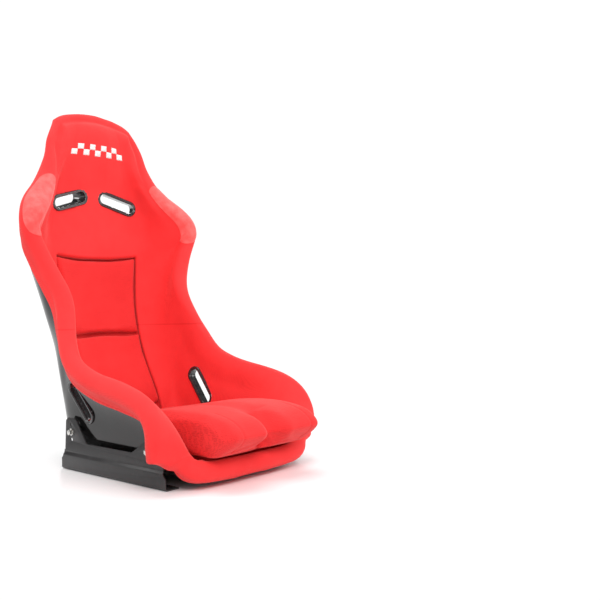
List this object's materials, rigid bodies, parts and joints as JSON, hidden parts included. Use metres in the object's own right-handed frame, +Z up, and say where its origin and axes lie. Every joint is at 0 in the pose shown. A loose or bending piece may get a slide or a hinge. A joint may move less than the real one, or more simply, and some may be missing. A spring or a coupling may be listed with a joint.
{
  "type": "racing bucket seat",
  "caption": "Fixed-back racing bucket seat: glossy black moulded shell, red padded rim and bolsters, loose pads, harness slots and steel side brackets.",
  "frame": {"origin": "middle of the four floor-bolt slots, on the underside of the bracket feet", "axes": "+Z up, -Y the way the seat faces, +X towards the occupant's left"},
  "size_m": [0.5834, 0.714, 0.9297],
  "materials": {
    "shell_gelcoat": "gloss black gel-coat over glass fibre",
    "red_fabric": "scarlet stretch knit over foam",
    "centre_fabric": "textured scarlet weave over foam",
    "patch_suede": "lighter red suede",
    "bezel_plastic": "gloss black",
    "bracket_steel": "satin black powder coat",
    "zinc_steel": "bright zinc",
    "hook_and_loop": "black hook-and-loop tape",
    "white_thread": "white satin stitch"
  },
  "bodies": {
    "seat": {"shell": "shell_gelcoat", "head_pad": "red_fabric", "side_bolster_left": "red_fabric", "side_bolster_right": "red_fabric", "thigh_bolster_left": "red_fabric", "thigh_bolster_right": "red_fabric", "seat_base_pad": "centre_fabric", "back_base_pad": "centre_fabric", "front_lip": "red_fabric", "rim_trim_left": "red_fabric", "rim_trim_right": "red_fabric", "head_cover": "red_fabric", "shoulder_patch_left": "patch_suede", "shoulder_patch_right": "patch_suede", "seat_fastener_strips": "hook_and_loop", "back_fastener_strips": "hook_and_loop", "shoulder_bezel_front_left": "bezel_plastic", "shoulder_bezel_front_right": "bezel_plastic", "shoulder_bezel_rear_left": "bezel_plastic", "shoulder_bezel_rear_right": "bezel_plastic", "lap_bezel_inner_left": "bezel_plastic", "lap_bezel_inner_right": "bezel_plastic", "lap_bezel_outer_left": "bezel_plastic", "lap_bezel_outer_right": "bezel_plastic", "side_bracket_left": "bracket_steel", "side_bracket_right": "bracket_steel", "bracket_bolts": "zinc_steel", "spring_washers": "zinc_steel", "flat_washers": "zinc_steel", "shell_nuts": "zinc_steel", "front_emblem": "white_thread", "rear_emblem": "white_thread"},
    "cushion": {"seat_cushion": "centre_fabric"},
    "lumbar": {"lumbar_pad": "centre_fabric"},
    "back": {"back_pad": "centre_fabric"}
  },
  "joints": [
    {"name": "seat_cushion_lift", "type": "slide", "parent": "seat", "child": "cushion", "axis": [0, -0.8, 0.6], "range_m": [0, 0.25]},
    {"name": "lumbar_pad_pull", "type": "slide", "parent": "seat", "child": "lumbar", "axis": [0, -0.97, 0.2431], "range_m": [0, 0.1]},
    {"name": "back_pad_pull", "type": "slide", "parent": "seat", "child": "back", "axis": [0, -0.99, 0.1411], "range_m": [0, 0.1]}
  ]
}
